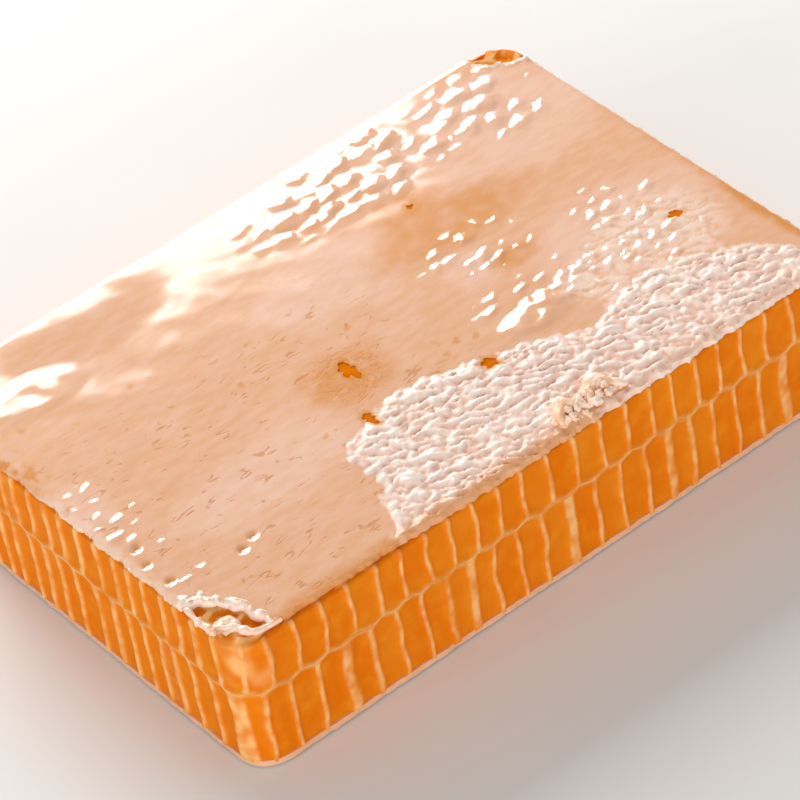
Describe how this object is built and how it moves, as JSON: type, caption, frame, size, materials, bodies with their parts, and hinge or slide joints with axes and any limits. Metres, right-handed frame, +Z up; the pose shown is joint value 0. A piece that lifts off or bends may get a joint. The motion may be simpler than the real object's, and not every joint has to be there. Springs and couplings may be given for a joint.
{
  "type": "honeycomb piece",
  "caption": "Rounded rectangular block of cut honeycomb: honey-filled cells on both sides of a wax midrib, under and over wax cappings, with a crumb of torn wax on top.",
  "frame": {"origin": "centre of the flat underside, on the surface that the block lies on", "axes": "+X along the longer side, +Y along the shorter side, +Z up through the cappings"},
  "size_m": [0.134, 0.094, 0.0312],
  "materials": {
    "capping_wax": "soft pinkish-cream beeswax, glossy where it is wet with honey and matte where it is dry",
    "honey_cells": "deep orange honey in cells, glossy, with thin paler wax walls",
    "midrib_wax": "pale beeswax, satin",
    "scrap_wax": "cream beeswax, matte and crumbly"
  },
  "bodies": {
    "root": {"cappings_top": "capping_wax", "cells_upper": "honey_cells", "midrib": "midrib_wax", "cells_lower": "honey_cells", "cappings_bottom": "capping_wax", "wax_scrap": "scrap_wax"}
  },
  "joints": []
}
